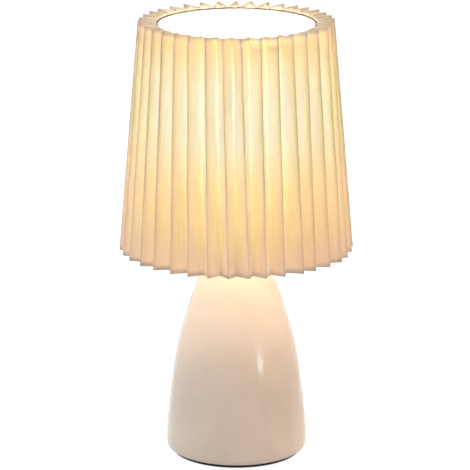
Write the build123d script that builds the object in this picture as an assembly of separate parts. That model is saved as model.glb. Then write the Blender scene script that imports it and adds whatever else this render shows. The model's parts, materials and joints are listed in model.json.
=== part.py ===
from build123d import *
import os
from math import cos, pi, sin, sqrt

# A bedside lamp: a pleated cloth shade on a glazed ceramic base, with an E27 lampholder and an LED bulb.
# Millimetres. The lamp stands on Z = 0, its front faces -Y and its cord inlet faces +Y.

# Ceramic base, with heights above its foot and insets from its widest radius
pad_thickness = 2.0
base_radius = 48.4
edge_radius = 4.4
belly_height = 8.0
flank_inset = 2.9
flank_height = 41.0
shoulder_inset = 8.1
shoulder_height = 74.7
collar_inset = 13.7
collar_height = 95.8
crown_radius = 22.6
crown_height = 132.0
crown_round = 2.0
ceramic_wall = 5.0
floor_thickness = 5.0
crown_wall = 6.0
hand_hole_radius = 30.0

# Cord inlet at the back of the base
inlet_height = 14.0
inlet_radius = 5.0
cord_bore_radius = 3.5
grommet_flange_radius = 7.5
grommet_flange = 1.6

# Threaded nipple through the crown, and what clamps it
nipple_radius = 4.95
nipple_bore_radius = 3.6
nipple_tail = 2.5
thread_gap = 0.05
crown_hole_gap = 0.45
rubber_washer_radius = 12.0
rubber_washer_thickness = 1.5
steel_washer_radius = 11.0
steel_washer_thickness = 1.5
nut_across_flats = 14.0
nut_height = 5.0
gasket_radius = 20.5
gasket_thickness = 1.5

# Lampholder
holder_radius = 19.3
cap_height = 20.0
cap_wall = 1.8
cap_floor = 3.0
cap_round = 3.5
boss_radius = 8.0
boss_height = 8.0
grub_screw_radius = 1.5
barrel_height = 38.5
barrel_wall = 3.4
spigot_length = 6.0
spigot_gap = 0.1
lip_thickness = 3.0
lip_radius = 14.6
seat_radius = 24.0
seat_thickness = 2.5
seat_height = 4.5
barrel_thread_pitch = 2.5
barrel_thread_depth = 0.7
barrel_thread_start = 4.0
barrel_thread_turns = 10
insert_height = 16.0
insert_gap = 0.3
insert_rise = 0.5
terminal_offset = 12.0
terminal_shank_radius = 1.5
terminal_shank_length = 8.0
terminal_head_radius = 2.6
terminal_head_height = 1.6
terminal_slot = 0.7
tongue_width = 6.0
tongue_thickness = 0.6
tongue_half_length = 8.0
tongue_foot = 3.0
tongue_rise = 5.0
shell_height = 21.0
shell_wall = 0.5
shell_base_hole_radius = 10.0

# Clearance between pieces that move past each other
moving_gap = 0.3

# Shade: a strip folded into pleats of one width, which stands on a slant
pleat_count = 36
pleat_width = 12.3
shade_bottom_radius = 80.0
shade_top_radius = 66.4
shade_height = 158.4
shade_drop = 16.3
cloth_thickness = 0.5
ring_inset = 3.0
top_wire_radius = 0.9
bottom_wire_radius = 1.3
wire_seat = 0.05
arm_count = 3
arm_wire_radius = 1.5
arm_run = 6.0
arm_start_gap = 1.2
arm_bend_radius = 8.0
arm_bite = 0.3
fitter_radius = 27.5
fitter_thickness = 1.5

# Ring that clamps the shade's fitter
retaining_flange_radius = 26.5
retaining_flange = 2.0
retaining_collar_radius = 23.0
retaining_height = 10.0
grip_count = 24
grip_radius = 0.9

# Bulb: an opal A60 glass with LED filaments, on an E27 cap
bulb_length = 108.0
globe_radius = 30.0
globe_rim_drop = 10.3
glass_wall = 1.2
glass_neck_radius = 13.9
plug_length = 9.5
plug_wall = 1.45
cap_contact_radius = 4.8
cap_contact_height = 1.2
insulator_height = 3.5
cap_shell_height = 22.5
cap_shell_wall = 0.5
cap_root_radius = 12.1
cap_collar_height = 5.5
cap_collar_radius = 13.4
e27_pitch = 3.629
e27_depth = 0.95
e27_turns = 4
ridge_half_width = 1.4
ridge_root = 0.25
turning_gap = 0.1
stem_height = 36.0
stem_flare_height = 12.0
stem_rod_radius = 3.0
stem_gap = 0.15
filament_count = 4
filament_radius = 1.0
filament_length = 36.0
filament_circle_radius = 8.0
filament_foot_drop = 16.0
filament_wire = 0.8
driver_thickness = 1.6
driver_gap = 0.15
driver_headroom = 0.5

# Heights that follow from the sizes above
foot_z = pad_thickness
crown_z = foot_z + crown_height
ceiling_z = crown_z - crown_wall
inlet_z = foot_z + inlet_height
rubber_washer_z = ceiling_z - rubber_washer_thickness
steel_washer_z = rubber_washer_z - steel_washer_thickness
nut_z = steel_washer_z - nut_height
cap_z = crown_z + gasket_thickness
boss_z = cap_z + cap_floor + boss_height
cap_rim_z = cap_z + cap_height
barrel_z = cap_rim_z + barrel_height
seat_z = cap_rim_z + seat_height
spigot_z = cap_rim_z - spigot_length
insert_z = boss_z + insert_rise
insert_top_z = insert_z + insert_height
fitter_z = seat_z + moving_gap
retaining_z = fitter_z + fitter_thickness + moving_gap
shade_bottom_z = fitter_z - shade_drop
shade_top_z = shade_bottom_z + shade_height
contact_z = insert_top_z + tongue_rise + moving_gap
insulator_z = contact_z + cap_contact_height
cap_shell_z = insulator_z + insulator_height
cap_shell_top_z = cap_shell_z + cap_shell_height
neck_z = cap_shell_top_z + moving_gap
plug_z = neck_z - plug_length
globe_z = contact_z + bulb_length - globe_radius
rim_z = globe_z - globe_rim_drop
stem_top_z = plug_z + stem_height
filament_z = stem_top_z - filament_foot_drop
filament_top_z = filament_z + filament_length

# Radii that follow from the sizes above
nipple_hole_radius = nipple_radius + thread_gap
barrel_bore_radius = holder_radius - barrel_wall
cap_bore_radius = holder_radius - cap_wall
sleeve_radius = holder_radius + moving_gap
shell_bore_radius = cap_root_radius + e27_depth + moving_gap
cap_shell_bore_radius = cap_root_radius - cap_shell_wall
plug_radius = cap_shell_bore_radius - turning_gap
plug_bore_radius = plug_radius - plug_wall
rim_radius = sqrt(globe_radius**2 - globe_rim_drop**2)

UP = (Align.CENTER, Align.CENTER, Align.MIN)


def turned(*curves):
    """A solid turned about Z from a closed outline of curves in (radius, height)."""
    return revolve(Plane.XZ * make_face(curves), Axis.Z)


def turned_points(*points):
    """A solid turned about Z from the corners of its outline."""
    return turned(Polyline(*points, close=True))


def tube(outer, inner, low, high):
    """A round tube about Z."""
    return Pos(0, 0, low) * (Cylinder(outer, high - low, align=UP) - Cylinder(inner, high - low, align=UP))


def rod(radius, low, high):
    """A round bar about Z."""
    return Pos(0, 0, low) * Cylinder(radius, high - low, align=UP)


def around(shape, count, first=0.0):
    """Copies of a shape spaced evenly about Z, from the angle first in degrees."""
    return [Rot(0, 0, first + 360.0 / count * number) * shape for number in range(count)]


# Ceramic base


def base_curve(inset):
    """The flank from belly to crown, moved towards the axis by inset."""
    crown_run = (crown_radius - base_radius + collar_inset, crown_height - collar_height)
    return Spline(
        (base_radius - inset, foot_z + belly_height),
        (base_radius - flank_inset - inset, foot_z + flank_height),
        (base_radius - shoulder_inset - inset, foot_z + shoulder_height),
        (base_radius - collar_inset - inset, foot_z + collar_height),
        (crown_radius - inset, crown_z),
        tangents=[(0, 1), crown_run],
    )


def base_form():
    """The outside of the base as a full solid, with its lower and upper edges rounded."""
    foot_radius = base_radius - edge_radius
    edge = JernArc((foot_radius, foot_z), (1, 0), edge_radius, 90)
    full = turned(
        Line((0, foot_z), (foot_radius, foot_z)),
        edge,
        Line((base_radius, foot_z + edge_radius), (base_radius, foot_z + belly_height)),
        base_curve(0),
        Line((crown_radius, crown_z), (0, crown_z)),
        Line((0, crown_z), (0, foot_z)),
    )
    return fillet(full.edges().sort_by(Axis.Z)[-1], crown_round)


def base_hollow():
    """The space inside the base, under a flat ceiling."""
    inner_radius = base_radius - ceramic_wall
    floor_z = foot_z + floor_thickness
    hollow = turned(
        Line((0, floor_z), (inner_radius, floor_z)),
        Line((inner_radius, floor_z), (inner_radius, foot_z + belly_height)),
        base_curve(ceramic_wall),
        Line((crown_radius - ceramic_wall, crown_z), (0, crown_z)),
        Line((0, crown_z), (0, floor_z)),
    )
    return hollow - rod(base_radius, ceiling_z, crown_z + crown_wall)


def inlet_bar(radius, inner_y, outer_y):
    """A round bar along Y at the height of the cord inlet."""
    return Pos(0, inner_y, inlet_z) * Rot(-90, 0, 0) * Cylinder(radius, outer_y - inner_y, align=UP)


def ceramic_body():
    body = base_form() - base_hollow()
    body -= rod(hand_hole_radius, foot_z, foot_z + floor_thickness)
    body -= rod(nipple_radius + crown_hole_gap, ceiling_z, crown_z)
    return body - inlet_bar(inlet_radius, 0, base_radius + ceramic_wall)


def cord_grommet(body):
    """A bush whose flanges follow the curved wall on both sides."""
    inner_y = base_radius - ceramic_wall
    outer_y = base_radius
    bush = inlet_bar(inlet_radius, inner_y - grommet_flange, outer_y + grommet_flange)
    bush += inlet_bar(grommet_flange_radius, inner_y - grommet_flange, inner_y + ceramic_wall / 2)
    bush += inlet_bar(grommet_flange_radius, outer_y - ceramic_wall / 2, outer_y + grommet_flange)
    bush -= inlet_bar(cord_bore_radius, 0, base_radius + ceramic_wall)
    return bush - body


def foot_pad():
    return rod(base_radius - edge_radius, 0, pad_thickness)


# Nipple and its clamping pieces


def threaded_nipple():
    return tube(nipple_radius, nipple_bore_radius, nut_z - nipple_tail, boss_z)


def nipple_nut():
    hexagon = RegularPolygon(nut_across_flats / 2, 6, major_radius=False)
    return Pos(0, 0, nut_z) * extrude(hexagon, nut_height) - rod(nipple_hole_radius, nut_z, steel_washer_z)


# Lampholder


def holder_cap():
    """A cup with a threaded boss in its floor."""
    cup = turned_points(
        (nipple_hole_radius, cap_z),
        (holder_radius, cap_z),
        (holder_radius, cap_rim_z),
        (cap_bore_radius, cap_rim_z),
        (cap_bore_radius, cap_z + cap_floor),
        (boss_radius, cap_z + cap_floor),
        (boss_radius, boss_z),
        (nipple_hole_radius, boss_z),
    )
    lower_edges = cup.edges().filter_by(GeomType.CIRCLE).group_by(Axis.Z)[0]
    return fillet(lower_edges.sort_by(SortBy.RADIUS)[-1], cap_round) - grub_screw_bar()


def grub_screw_bar():
    """The grub screw's own space, from the nipple to the outside of the boss."""
    height = cap_z + cap_floor + boss_height / 2
    length = boss_radius - nipple_radius
    return Pos(nipple_radius, 0, height) * Rot(0, 90, 0) * Cylinder(grub_screw_radius, length, align=UP)


def holder_grub_screw():
    return grub_screw_bar() - threaded_nipple()


def holder_barrel():
    """A thick tube with a spigot below, a seat for the shade, an outer thread and an inward lip on top."""
    spigot_radius = cap_bore_radius - spigot_gap
    barrel = turned_points(
        (barrel_bore_radius, spigot_z),
        (spigot_radius, spigot_z),
        (spigot_radius, cap_rim_z),
        (holder_radius, cap_rim_z),
        (holder_radius, seat_z - seat_thickness),
        (seat_radius, seat_z - seat_thickness),
        (seat_radius, seat_z),
        (holder_radius, seat_z),
        (holder_radius, barrel_z),
        (lip_radius, barrel_z),
        (lip_radius, barrel_z - lip_thickness),
        (barrel_bore_radius, barrel_z - lip_thickness),
    )
    for turn in range(barrel_thread_turns):
        low = seat_z + barrel_thread_start + turn * barrel_thread_pitch
        barrel -= thread_groove(low)
    return barrel


def thread_groove(low):
    """One groove of the barrel's outer thread, half a pitch wide and narrower at its root."""
    root_radius = holder_radius - barrel_thread_depth
    return turned_points(
        (holder_radius, low),
        (holder_radius, low + barrel_thread_pitch / 2),
        (root_radius, low + barrel_thread_pitch * 3 / 8),
        (root_radius, low + barrel_thread_pitch / 8),
    )


def terminals(radius, low, high):
    """Two bars at the places of the terminal screws."""
    return [Pos(side * terminal_offset, 0, 0) * rod(radius, low, high) for side in (-1, 1)]


def holder_insert():
    """The insulating core, with a flange that the barrel's spigot holds down."""
    core = rod(barrel_bore_radius - insert_gap, insert_z, insert_top_z)
    core += rod(cap_bore_radius - insert_gap, insert_z, spigot_z)
    for hole in terminals(terminal_shank_radius, insert_z, insert_z + terminal_shank_length):
        core -= hole
    return core


def terminal_screws():
    screws = []
    heads = terminals(terminal_head_radius, insert_z - terminal_head_height, insert_z)
    shanks = terminals(terminal_shank_radius, insert_z, insert_z + terminal_shank_length)
    slot_length = 2 * terminal_offset + 2 * terminal_head_radius
    slot_low = insert_z - terminal_head_height
    slot = Pos(0, 0, slot_low) * Box(slot_length, terminal_slot, terminal_head_height / 2, align=UP)
    for head, shank in zip(heads, shanks):
        screws.append(head + shank - slot)
    return Compound(children=screws)


def centre_contact():
    """A bent strip: two feet on the core and a raised tongue under the bulb."""
    top = insert_top_z + tongue_rise
    tread = tongue_half_length - tongue_foot
    crest = tread / 2
    slope = (tread - crest) / (tongue_rise - tongue_thickness)
    lean = tongue_thickness * (sqrt(1 + slope**2) - slope)
    outline = [
        (-tongue_half_length, insert_top_z),
        (-tread, insert_top_z),
        (-crest, top - tongue_thickness),
        (crest, top - tongue_thickness),
        (tread, insert_top_z),
        (tongue_half_length, insert_top_z),
        (tongue_half_length, insert_top_z + tongue_thickness),
        (tread + lean, insert_top_z + tongue_thickness),
        (crest + lean, top),
        (-crest - lean, top),
        (-tread - lean, insert_top_z + tongue_thickness),
        (-tongue_half_length, insert_top_z + tongue_thickness),
    ]
    side = Plane.YZ * make_face(Polyline(*outline, close=True))
    return extrude(side, tongue_width / 2, both=True)


def screw_shell():
    """A thin brass shell with rolled rounds, wide enough for the cap's thread to pass, and a flat base."""
    base_top = insert_top_z + shell_wall
    wave = e27_depth / 2
    rolls = int((shell_height - shell_wall) / e27_pitch)
    inner = [(shell_bore_radius, base_top)]
    for roll in range(rolls):
        low = base_top + roll * e27_pitch
        inner.append((shell_bore_radius + wave, low + e27_pitch / 2))
        inner.append((shell_bore_radius, low + e27_pitch))
    inner.append((shell_bore_radius, insert_top_z + shell_height))
    outer = [(radius + shell_wall, height) for radius, height in reversed(inner[1:])]
    outline = [(shell_base_hole_radius, base_top)] + inner + outer
    outline.append((shell_bore_radius + shell_wall, insert_top_z))
    outline.append((shell_base_hole_radius, insert_top_z))
    return turned_points(*outline)


def retaining_ring():
    """A ring with a flange and finger grips, which passes over the barrel's thread."""
    flange_top = retaining_z + retaining_flange
    ring = tube(retaining_flange_radius, sleeve_radius, retaining_z, flange_top)
    ring += tube(retaining_collar_radius, sleeve_radius, retaining_z, retaining_z + retaining_height)
    grip = Pos(retaining_collar_radius, 0, 0) * rod(grip_radius, flange_top, retaining_z + retaining_height)
    return ring + around(grip, grip_count)


# Shade


def fold_radius(tip_radius):
    """Radius of the inner folds where the outer folds are at tip_radius and a pleat has its full width."""
    half_pitch = pi / pleat_count
    across = tip_radius * sin(half_pitch)
    return tip_radius * cos(half_pitch) - sqrt(pleat_width**2 - across**2)


def cloth_depth(tip_radius):
    """How far the inside of the cloth lies behind its outside, along the radius."""
    across = (tip_radius + fold_radius(tip_radius)) / 2 * sin(pi / pleat_count)
    return cloth_thickness * pleat_width / across


def shade_tip_radius(height):
    share = (height - shade_bottom_z) / shade_height
    return shade_bottom_radius + share * (shade_top_radius - shade_bottom_radius)


def inside_radius(height):
    """Radius that the shade leaves free inside its inner folds."""
    tip_radius = shade_tip_radius(height)
    return fold_radius(tip_radius) - cloth_depth(tip_radius)


def pleat_outline(height, depth):
    """The zigzag at one height, moved towards the axis by depth. An inner fold faces the front."""
    tip_radius = shade_tip_radius(height)
    radii = (fold_radius(tip_radius) - depth, tip_radius - depth)
    points = []
    for fold in range(2 * pleat_count):
        angle = pi * fold / pleat_count
        points.append((radii[fold % 2] * cos(angle), radii[fold % 2] * sin(angle), height))
    return Polyline(*points, close=True)


def pleat_form(low, high, inner):
    """A solid between two heights, out to the pleats' outside or only to their inside."""
    sections = []
    for height in (low, high):
        depth = cloth_depth(shade_tip_radius(height)) if inner else 0
        sections.append(make_face(pleat_outline(height, depth)))
    return loft(sections, ruled=True)


def pleated_shade():
    outside = pleat_form(shade_bottom_z, shade_top_z, False)
    inside = pleat_form(shade_bottom_z - ring_inset, shade_top_z + ring_inset, True)
    return outside - inside


def wire_ring(height, wire_radius):
    """A ring of round wire that the inner folds lie on."""
    radius = inside_radius(height) - wire_radius - wire_seat
    return Pos(0, 0, height) * Torus(radius, wire_radius)


def shade_top_ring():
    return wire_ring(shade_top_z - ring_inset, top_wire_radius)


def shade_bottom_ring():
    return wire_ring(shade_bottom_z + ring_inset, bottom_wire_radius)


def fitter_ring():
    return tube(fitter_radius, sleeve_radius, fitter_z, fitter_z + fitter_thickness)


def fitter_arms(ring, fitter):
    """Three wires that run out under the fitter ring, then slope down to the bottom ring, one at the back."""
    start = seat_radius + arm_start_gap
    high = fitter_z - arm_wire_radius + arm_bite
    ring_z = shade_bottom_z + ring_inset
    ring_radius = inside_radius(ring_z) - bottom_wire_radius - wire_seat
    path = FilletPolyline(
        (start, 0, high),
        (start + arm_run, 0, high),
        (ring_radius, 0, ring_z),
        radius=arm_bend_radius,
    )
    arm = sweep(Plane(path @ 0, z_dir=path % 0) * Circle(arm_wire_radius), path=path)
    arm = arm - fitter
    return Compound(children=[turned_arm - ring for turned_arm in around(arm, arm_count, 90.0)])


# Bulb


def glass_curve(inset):
    """The flare from the neck to the globe, moved towards the axis by inset."""
    return Spline(
        (glass_neck_radius - inset, neck_z + inset),
        (rim_radius - inset, rim_z),
        tangents=[(0, 1), (globe_rim_drop, rim_radius)],
    )


def glass_form(inset):
    """The flare and the globe above it as a full solid, moved inwards by inset."""
    flare = turned(
        Line((0, neck_z + inset), (glass_neck_radius - inset, neck_z + inset)),
        glass_curve(inset),
        Line((rim_radius - inset, rim_z), (0, rim_z)),
        Line((0, rim_z), (0, neck_z + inset)),
    )
    globe = Pos(0, 0, globe_z) * Sphere(globe_radius - inset)
    return flare + (globe - rod(2 * globe_radius, globe_z - 2 * globe_radius, rim_z))


def bulb_globe():
    """The whole glass: globe, flare and a plug that goes into the cap."""
    glass = glass_form(0) + rod(plug_radius, plug_z, neck_z)
    return glass - glass_form(glass_wall) - rod(plug_bore_radius, plug_z, neck_z + glass_wall)


def glass_stem():
    """The mount that closes the glass below: a flared foot and a rod."""
    foot_radius = plug_bore_radius - stem_gap
    return turned_points(
        (0, plug_z),
        (foot_radius, plug_z),
        (stem_rod_radius, plug_z + stem_flare_height),
        (stem_rod_radius, stem_top_z),
        (0, stem_top_z),
    )


def filament_wires():
    """A plate on the stem under the filaments, and a mast with a cross bar over each of them."""
    reach = filament_circle_radius + filament_radius
    plate = tube(reach, stem_rod_radius + thread_gap, filament_z - filament_wire, filament_z)
    mast = rod(filament_wire / 2, stem_top_z, filament_top_z + filament_wire)
    bar = Box(reach, filament_wire, filament_wire, align=(Align.MIN, Align.CENTER, Align.MIN))
    for spoke in around(Pos(0, 0, filament_top_z) * bar, filament_count):
        mast += spoke
    return Compound(children=[plate, mast])


def led_filaments():
    filament = Pos(filament_circle_radius, 0, 0) * rod(filament_radius, filament_z, filament_top_z)
    return Compound(children=around(filament, filament_count))


def driver_board():
    """A small board on edge in the cap, with its capacitor and its coil."""
    low = cap_shell_z + insulator_height
    height = plug_z - driver_headroom - low
    room = cap_shell_bore_radius / 2
    width = 2 * sqrt((cap_shell_bore_radius - driver_gap) ** 2 - (driver_thickness / 2) ** 2)
    board = Pos(0, 0, low) * Box(width, driver_thickness, height, align=UP)
    capacitor = Pos(0, room / 2, low) * Cylinder(room / 2, height / 2, align=UP)
    coil = Pos(0, -room / 2, low) * Box(room, room, height / 3, align=UP)
    return board + capacitor + coil


def bulb_cap():
    """The thin metal cap: a plain shell, one helical ridge for its thread, and a wider collar."""
    collar_z = cap_shell_top_z - cap_collar_height
    shell = turned_points(
        (cap_shell_bore_radius, cap_shell_z),
        (cap_root_radius, cap_shell_z),
        (cap_root_radius, collar_z),
        (cap_collar_radius, collar_z + cap_collar_radius - cap_root_radius),
        (cap_collar_radius, cap_shell_top_z),
        (cap_shell_bore_radius, cap_shell_top_z),
    )
    start_z = cap_shell_z + ridge_half_width + cap_shell_wall
    helix = Pos(0, 0, start_z) * Helix(e27_pitch, e27_pitch * e27_turns - e27_pitch / 4, cap_root_radius)
    section = make_face(
        [
            ThreePointArc((-ridge_root, -ridge_half_width), (e27_depth, 0), (-ridge_root, ridge_half_width)),
            Line((-ridge_root, ridge_half_width), (-ridge_root, -ridge_half_width)),
        ]
    )
    across = Plane(helix @ 0, x_dir=(1, 0, 0), z_dir=helix % 0)
    return shell + sweep(across * section, path=helix, is_frenet=True)


def cap_insulator():
    """A black cone under the cap, with a plug inside the shell."""
    plug_top = cap_shell_z + insulator_height
    return turned_points(
        (0, insulator_z),
        (cap_contact_radius, insulator_z),
        (cap_root_radius, cap_shell_z),
        (cap_shell_bore_radius, cap_shell_z),
        (cap_shell_bore_radius, plug_top),
        (0, plug_top),
    )


def cap_contact():
    """A low domed button."""
    button = rod(cap_contact_radius, contact_z, insulator_z)
    return chamfer(button.edges().sort_by(Axis.Z)[0], cap_contact_height / 2)


body = ceramic_body()
bottom_ring = shade_bottom_ring()
fitter = fitter_ring()
pieces = {
    "foot_pad": foot_pad(),
    "ceramic_body": body,
    "cord_grommet": cord_grommet(body),
    "threaded_nipple": threaded_nipple(),
    "nipple_nut": nipple_nut(),
    "steel_washer": tube(steel_washer_radius, nipple_hole_radius, steel_washer_z, rubber_washer_z),
    "rubber_washer": tube(rubber_washer_radius, nipple_hole_radius, rubber_washer_z, ceiling_z),
    "neck_gasket": tube(gasket_radius, nipple_hole_radius, crown_z, cap_z),
    "holder_cap": holder_cap(),
    "holder_grub_screw": holder_grub_screw(),
    "holder_insert": holder_insert(),
    "terminal_screws": terminal_screws(),
    "centre_contact": centre_contact(),
    "screw_shell": screw_shell(),
    "holder_barrel": holder_barrel(),
    "retaining_ring": retaining_ring(),
    "pleated_shade": pleated_shade(),
    "shade_top_ring": shade_top_ring(),
    "shade_bottom_ring": bottom_ring,
    "fitter_arms": fitter_arms(bottom_ring, fitter),
    "fitter_ring": fitter,
    "bulb_globe": bulb_globe(),
    "glass_stem": glass_stem(),
    "filament_wires": filament_wires(),
    "led_filaments": led_filaments(),
    "bulb_cap": bulb_cap(),
    "cap_insulator": cap_insulator(),
    "cap_contact": cap_contact(),
    "driver_board": driver_board(),
}

os.makedirs("parts", exist_ok=True)
for name, shape in pieces.items():
    export_step(shape, f"parts/{name}.step")
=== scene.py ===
import json
from math import cos, pi, radians, sin, sqrt, tan

import bmesh
import bpy
import numpy as np
from mathutils import Matrix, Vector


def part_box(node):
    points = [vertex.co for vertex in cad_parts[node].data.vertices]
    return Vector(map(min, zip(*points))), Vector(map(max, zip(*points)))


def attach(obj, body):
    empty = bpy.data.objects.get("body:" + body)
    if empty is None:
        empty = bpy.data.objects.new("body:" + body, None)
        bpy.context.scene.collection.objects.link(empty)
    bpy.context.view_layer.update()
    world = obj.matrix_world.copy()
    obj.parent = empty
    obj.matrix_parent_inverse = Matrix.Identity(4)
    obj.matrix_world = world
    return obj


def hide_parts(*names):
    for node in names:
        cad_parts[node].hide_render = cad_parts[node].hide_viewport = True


# A bedside lamp: a pleated cloth shade, lit from inside, on a glazed ceramic base.
# Shapes are worked out in millimetres and put into the meshes in metres.

MM = 0.001
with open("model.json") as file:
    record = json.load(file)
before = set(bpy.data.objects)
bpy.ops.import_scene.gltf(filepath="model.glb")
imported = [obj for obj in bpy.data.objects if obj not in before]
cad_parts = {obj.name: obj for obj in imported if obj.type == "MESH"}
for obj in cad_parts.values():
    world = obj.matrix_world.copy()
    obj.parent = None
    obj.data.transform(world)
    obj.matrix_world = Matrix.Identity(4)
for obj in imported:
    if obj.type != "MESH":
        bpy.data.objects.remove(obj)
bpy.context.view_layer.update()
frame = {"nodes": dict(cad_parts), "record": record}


def span(node):
    """Lowest and highest corner of a CAD node in millimetres."""
    low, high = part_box(node)
    return np.array(low) / MM, np.array(high) / MM


# Sizes read from the frame
base_low, base_high = span("ceramic_body")
foot_z = base_low[2]
crown_z = base_high[2]
base_radius = base_high[0]
shade_low, shade_high = span("pleated_shade")
shade_bottom_z = shade_low[2]
shade_top_z = shade_high[2]

# Ceramic base: heights above its foot, insets from its widest radius
edge_radius = 4.4
belly_height = 8.0
flank_inset, flank_height = 2.9, 41.0
shoulder_inset, shoulder_height = 8.1, 74.7
collar_inset, collar_height = 13.7, 95.8
crown_radius = 22.6
crown_round = 2.0
ceramic_wall = 5.0
floor_thickness = 5.0
crown_wall = 6.0
hand_hole_radius = 30.0
crown_hole_radius = 5.4
inlet_z = foot_z + 14.0
inlet_radius = 5.0
inlet_sides = 48
cord_bore = 3.5

# Shade: one strip of cloth folded into pleats of one width
pleat_count = 36
pleat_width = 12.3
shade_bottom_radius = 80.0
shade_top_radius = 66.4
cloth_thickness = 0.5
hem_width = 3.0
# Width of the band of painted shade along the lining's cut edges
shade_band_width = 5.0
slant_length = sqrt((shade_top_z - shade_bottom_z) ** 2 + (shade_bottom_radius - shade_top_radius) ** 2)
shade_rows = 40
outer_fold_share = 0.05  # half the round at a fold, in pleat widths
inner_fold_share = 0.28
fold_places = np.array([-0.5, -0.3, -0.16, -0.09, -0.05, -0.025, 0.0, 0.025, 0.05, 0.09, 0.16, 0.3])

# How far single folds stray: millimetres in or out and degrees round, at mid height and from bottom to top
reach_stray, reach_tilt = 0.25, 0.2
turn_stray, turn_tilt = 0.35, 0.6

# How the pleats turn and lean, in degrees: all alike, and in waves that go once and twice round the shade
pleat_turn = -1.2
pleat_lean = -1.8
once_lean, once_phase = 1.6, 0.89
twice_lean, twice_phase = 4.2, 0.81

# Wires of the shade and its fitter
wire_sides = 16
fitter_bore = 19.6
arm_count = 3
arm_start = 25.2
arm_run = 6.0
arm_bend = 8.0
arm_wire = 1.5
arm_bite = 0.3

# Lampholder and the ring that clamps the shade
nipple_hole = 5.0
cup_wall = 1.8
cup_floor = 3.0
boss_radius = 8.0
boss_height = 8.0
barrel_radius = 19.3
barrel_wall = 3.4
spigot_gap = 0.1
seat_thickness = 2.5
moving_gap = 0.3
thread_start = 4.0
thread_land = 5.0
thread_pitch = 2.5
thread_depth = 0.7
groove_slope = 1.1
lip_radius = 14.6
lip_thickness = 3.0
ring_flange = 2.0
ring_collar = 23.0
grip_count = 24
grip_height = 0.9
grip_power = 3  # narrows the ribs
grip_reach = 0.3  # ribs stand on points of the outline this near the collar's face

# Bulb
globe_rim_drop = 10.3
glass_wall = 1.2
glass_neck = 13.9
neck_bevel = 0.6
plug_length = 9.5
plug_radius = 11.5
plug_wall = 1.45
cap_bore = 11.6
cap_root = 12.1
cap_bevel = 0.3
cap_edge = 0.4
cap_collar_height = 5.5
collar_bevel = 0.35
collar_foot = 0.2
cap_thread_start = 1.9
cap_thread_fade = 2.0
e27_pitch = 3.629
e27_depth = 0.95
bulb_strength = 64.0

# Steps round the turned pieces
base_steps = 192
ring_steps = 180
barrel_steps = 160
small_steps = 128
bulb_steps = 96
bush_steps = 72
grip_steps = 16  # for each rib

# Points along the curves
flank_points = 24
edge_points = 10
crown_points = 8
flare_points = 32
globe_points = 44
bend_points = 12
tip_points = 6
thread_points = 160
cap_thread_points = 90

# Camera fitted to the photograph: metres, radians, and a focal length in pixels of a 470 pixel frame
camera_distance = 2.0
camera_height = 0.69923
camera_side = -0.001
camera_pitch = 0.266743
focal_pixels = 3036.1
frame_pixels = 470
sensor_width = 36.0
aim_height = 0.12


# Colour and node helpers


def tint(code):
    """A colour written as sRGB hex, as linear light with full cover."""
    parts = np.array([int(code[k:k + 2], 16) for k in (1, 3, 5)]) / 255
    linear = np.where(parts <= 0.04045, parts / 12.92, ((parts + 0.055) / 1.055) ** 2.4)
    return (*linear.tolist(), 1.0)


def add(tree, kind, inputs=None, **settings):
    """One node with its settings and links. An input is a plain value, the socket that feeds it, or the
    node whose first output in use feeds it."""
    node = tree.nodes.new("ShaderNode" + kind)
    for name, value in settings.items():
        setattr(node, name, value)
    for key, value in (inputs or {}).items():
        if isinstance(value, bpy.types.Node):
            value = next(socket for socket in value.outputs if socket.enabled)
        if isinstance(value, bpy.types.NodeSocket):
            tree.links.new(value, node.inputs[key])
        else:
            node.inputs[key].default_value = value
    return node


def finish(name):
    """An empty material and its tree of nodes."""
    material = bpy.data.materials.new(name)
    material.use_nodes = True
    material.node_tree.nodes.clear()
    return material, material.node_tree


# Mesh helpers


def grid_faces(rows, columns, round_rows, round_columns):
    """Four-cornered faces between neighbours of a grid of points, joined where the grid closes."""
    row = np.arange(rows if round_rows else rows - 1)
    column = np.arange(columns if round_columns else columns - 1)
    row, column = np.meshgrid(row, column, indexing="ij")
    next_row = (row + 1) % rows
    next_column = (column + 1) % columns
    corners = [
        row * columns + column,
        row * columns + next_column,
        next_row * columns + next_column,
        next_row * columns + column,
    ]
    return np.stack(corners, -1).reshape(-1, 4)


def outward(points, faces):
    """The faces of a closed shape in the order that points outwards, found from the sign of its volume."""
    a, b, c, d = (points[faces[:, k]] for k in range(4))
    volume = np.einsum("ij,ij->", a, np.cross(b, c)) + np.einsum("ij,ij->", a, np.cross(c, d))
    return faces if volume > 0 else faces[:, ::-1]


def seat(mesh, body, slot, *nodes):
    """Puts a finished mesh into the scene as a piece that stands for CAD nodes on a body."""
    piece = bpy.data.objects.new(mesh.name, mesh)
    bpy.context.scene.collection.objects.link(piece)
    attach(piece, body)
    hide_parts(*nodes)
    return piece


def make_piece(name, points, faces, material, body, slot, *nodes):
    """A smooth mesh from points in millimetres, its doubles merged, that stands for CAD nodes on a body."""
    mesh = bpy.data.meshes.new(name)
    mesh.from_pydata((points * MM).tolist(), [], faces.tolist())
    work = bmesh.new()
    work.from_mesh(mesh)
    bmesh.ops.remove_doubles(work, verts=work.verts, dist=1e-6)
    bmesh.ops.dissolve_degenerate(work, edges=work.edges, dist=1e-7)
    work.to_mesh(mesh)
    work.free()
    mesh.shade_smooth()
    mesh.materials.append(material)
    return seat(mesh, body, slot, *nodes)


def turns(steps):
    """Angles once round a circle."""
    return 2 * pi * np.arange(steps) / steps


def turned(outline, steps, relief=0):
    """Points and faces of a closed outline of (radius, height) carried round Z, with relief added to the
    radius."""
    angle = turns(steps)
    radius = outline[:, :1] + relief
    height = np.repeat(outline[:, 1:], steps, 1)
    points = np.stack([radius * np.cos(angle), radius * np.sin(angle), height], -1).reshape(-1, 3)
    return points, outward(points, grid_faces(len(outline), steps, True, True))


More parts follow.
